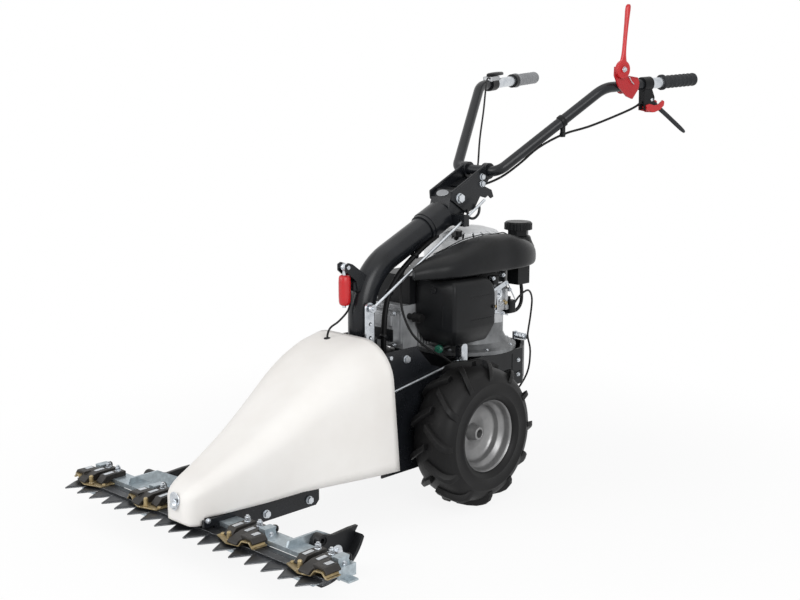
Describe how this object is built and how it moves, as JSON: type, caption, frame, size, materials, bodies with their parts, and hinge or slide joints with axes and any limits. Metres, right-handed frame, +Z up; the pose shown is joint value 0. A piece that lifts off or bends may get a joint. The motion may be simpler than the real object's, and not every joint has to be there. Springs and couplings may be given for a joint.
{
  "type": "sickle bar mower",
  "caption": "Walk-behind sickle bar mower with lugged wheels, petrol engine, white nose cover, double-knife cutter bar on skids and an adjustable handlebar.",
  "frame": {"origin": "on the ground, under the middle of the whole machine", "axes": "+Z up, -Y the way the cutter bar points, +X the machine's left side"},
  "size_m": [0.904, 1.5726, 1.2007],
  "materials": {
    "steel": "machined",
    "tyre": "matte",
    "rim_silver": "satin silver paint",
    "dark_cast": "black paint on a casting",
    "black_paint": "satin black paint",
    "aluminium": "cast",
    "black_plastic": "satin",
    "grey_plastic": "satin",
    "black_rubber": "matte",
    "green_plastic": "satin",
    "grip_rubber": "matte",
    "red_paint": "satin red paint",
    "red_plastic": "semi-gloss red",
    "zinc": "bright zinc plate",
    "white_plastic": "off-white, matte",
    "knife_steel": "dark ground steel",
    "galvanised": "galvanised",
    "gold_zinc": "yellow zinc plate",
    "pad_iron": "dark"
  },
  "bodies": {
    "machine": {"gearbox_housing": "dark_cast", "chassis_plates": "black_paint", "clutch_housing": "dark_cast", "crankcase": "aluminium", "cylinder_block": "aluminium", "valve_cover": "aluminium", "fan_shroud": "black_plastic", "fuel_tank": "black_plastic", "recoil_cover": "grey_plastic", "starter_grip": "black_plastic", "air_filter_box": "black_plastic", "carburettor": "aluminium", "fuel_tap": "black_plastic", "muffler": "black_paint", "spark_plug": "black_rubber", "dipstick": "green_plastic", "column_tube": "black_paint", "column_socket": "black_paint", "column_head": "black_paint", "front_cover": "white_plastic", "carrier_frame": "black_paint", "drive_housing": "dark_cast", "bar_beams": "galvanised", "knife_guides": "galvanised", "hold_down_springs": "gold_zinc", "hold_down_pads": "pad_iron", "zinc_bolts": "zinc", "machine_cables": "black_rubber", "cable_spring": "zinc"},
    "axle": {"axle_shaft": "steel", "tyres": "tyre", "rims": "rim_silver"},
    "crank": {"crankshaft": "steel", "flywheel": "aluminium"},
    "handlebar": {"handle_bracket": "black_paint", "handle_tube": "black_paint", "grips": "grip_rubber", "lever_bracket": "red_paint", "control_mounts": "black_plastic", "handle_cables": "black_rubber", "handle_bolts": "zinc"},
    "red_lever": {"red_lever": "red_plastic"},
    "clutch_lever": {"clutch_lever": "black_paint"},
    "red_latch": {"red_latch": "red_plastic"},
    "throttle_lever": {"throttle_lever": "black_plastic"},
    "cap": {"fuel_cap": "black_plastic"},
    "strap": {"shift_strap": "zinc"},
    "long_rod": {"shift_rod": "zinc"},
    "short_lever": {"brake_lever": "zinc"},
    "thin_rod": {"brake_rod": "zinc"},
    "pull_lever": {"column_lever": "zinc", "column_lever_grip": "red_plastic"},
    "rocker": {"rocker": "steel"},
    "upper_knife": {"upper_knife_bar": "knife_steel", "upper_sections": "knife_steel"},
    "lower_knife": {"lower_knife_bar": "knife_steel", "lower_sections": "knife_steel"},
    "left_skid": {"left_skid": "black_paint"},
    "right_skid": {"right_skid": "black_paint"}
  },
  "joints": [
    {"name": "axle_spin", "type": "hinge", "parent": "machine", "child": "axle", "pos_m": [0, -0.0313, 0.177], "axis": [1, 0, 0], "continuous": true},
    {"name": "crank_spin", "type": "hinge", "parent": "machine", "child": "crank", "pos_m": [0, 0.1637, 0.48], "axis": [0, 0, 1], "continuous": true},
    {"name": "handle_tilt", "type": "hinge", "parent": "machine", "child": "handlebar", "pos_m": [0, 0.0927, 0.72297], "axis": [1, 0, 0], "range_deg": [-12, 12]},
    {"name": "red_lever_swing", "type": "hinge", "parent": "handlebar", "child": "red_lever", "pos_m": [0.24581, 0.48861, 1.03827], "axis": [0.9814, -0.192, 0], "range_deg": [-40, 10]},
    {"name": "clutch_squeeze", "type": "hinge", "parent": "handlebar", "child": "clutch_lever", "pos_m": [0.24014, 0.61584, 0.95929], "axis": [0.9814, -0.192, 0], "range_deg": [0, 20], "stiffness_Nm_per_rad": 2, "springref_deg": -11.46},
    {"name": "latch_swing", "type": "hinge", "parent": "handlebar", "child": "red_latch", "pos_m": [0.23765, 0.60315, 0.94051], "axis": [0.9814, -0.192, 0], "range_deg": [-15, 15], "stiffness_Nm_per_rad": 0.6},
    {"name": "throttle_turn", "type": "hinge", "parent": "handlebar", "child": "throttle_lever", "pos_m": [-0.22064, 0.5162, 1.01752], "axis": [0.0111, -0.0567, 0.9983], "range_deg": [0, 60]},
    {"name": "cap_turn", "type": "hinge", "parent": "machine", "child": "cap", "pos_m": [0.09475, 0.25845, 0.65], "axis": [0, 0, 1], "range_deg": [0, 90]},
    {"name": "strap_swing", "type": "hinge", "parent": "machine", "child": "strap", "pos_m": [0.049, -0.2363, 0.382], "axis": [1, 0, 0], "range_deg": [-8, 8]},
    {"name": "long_rod_swing", "type": "hinge", "parent": "strap", "child": "long_rod", "pos_m": [0.062, -0.2363, 0.491], "axis": [1, 0, 0], "range_deg": [-9.5, 9.5]},
    {"name": "short_lever_swing", "type": "hinge", "parent": "machine", "child": "short_lever", "pos_m": [0.128, 0.0107, 0.365], "axis": [1, 0, 0], "range_deg": [-10, 10]},
    {"name": "thin_rod_swing", "type": "hinge", "parent": "short_lever", "child": "thin_rod", "pos_m": [0.1225, 0.0107, 0.339], "axis": [1, 0, 0], "range_deg": [-11, 11]},
    {"name": "pull_lever_swing", "type": "hinge", "parent": "machine", "child": "pull_lever", "pos_m": [0, -0.2673, 0.586], "axis": [-1, 0, 0], "range_deg": [0, 100]},
    {"name": "rocker_swing", "type": "hinge", "parent": "machine", "child": "rocker", "pos_m": [0, -0.6713, 0.1], "axis": [0, 0, 1], "range_deg": [-21.2, 21.2]},
    {"name": "upper_knife_slide", "type": "slide", "parent": "machine", "child": "upper_knife", "axis": [1, 0, 0], "range_m": [-0.01259, 0.01259]},
    {"name": "lower_knife_slide", "type": "slide", "parent": "machine", "child": "lower_knife", "axis": [1, 0, 0], "range_m": [-0.01259, 0.01259]},
    {"name": "left_skid_height", "type": "slide", "parent": "machine", "child": "left_skid", "axis": [0, 0, 1], "range_m": [-0.025, 0.005]},
    {"name": "right_skid_height", "type": "slide", "parent": "machine", "child": "right_skid", "axis": [0, 0, 1], "range_m": [-0.025, 0.005]}
  ],
  "couplings": [
    {"joint": "upper_knife_slide", "follows": "rocker_swing", "m_per_rad": 0.034},
    {"joint": "lower_knife_slide", "follows": "rocker_swing", "m_per_rad": -0.034},
    {"joint": "long_rod_swing", "follows": "strap_swing", "ratio": -1.12},
    {"joint": "thin_rod_swing", "follows": "short_lever_swing", "ratio": -1}
  ]
}
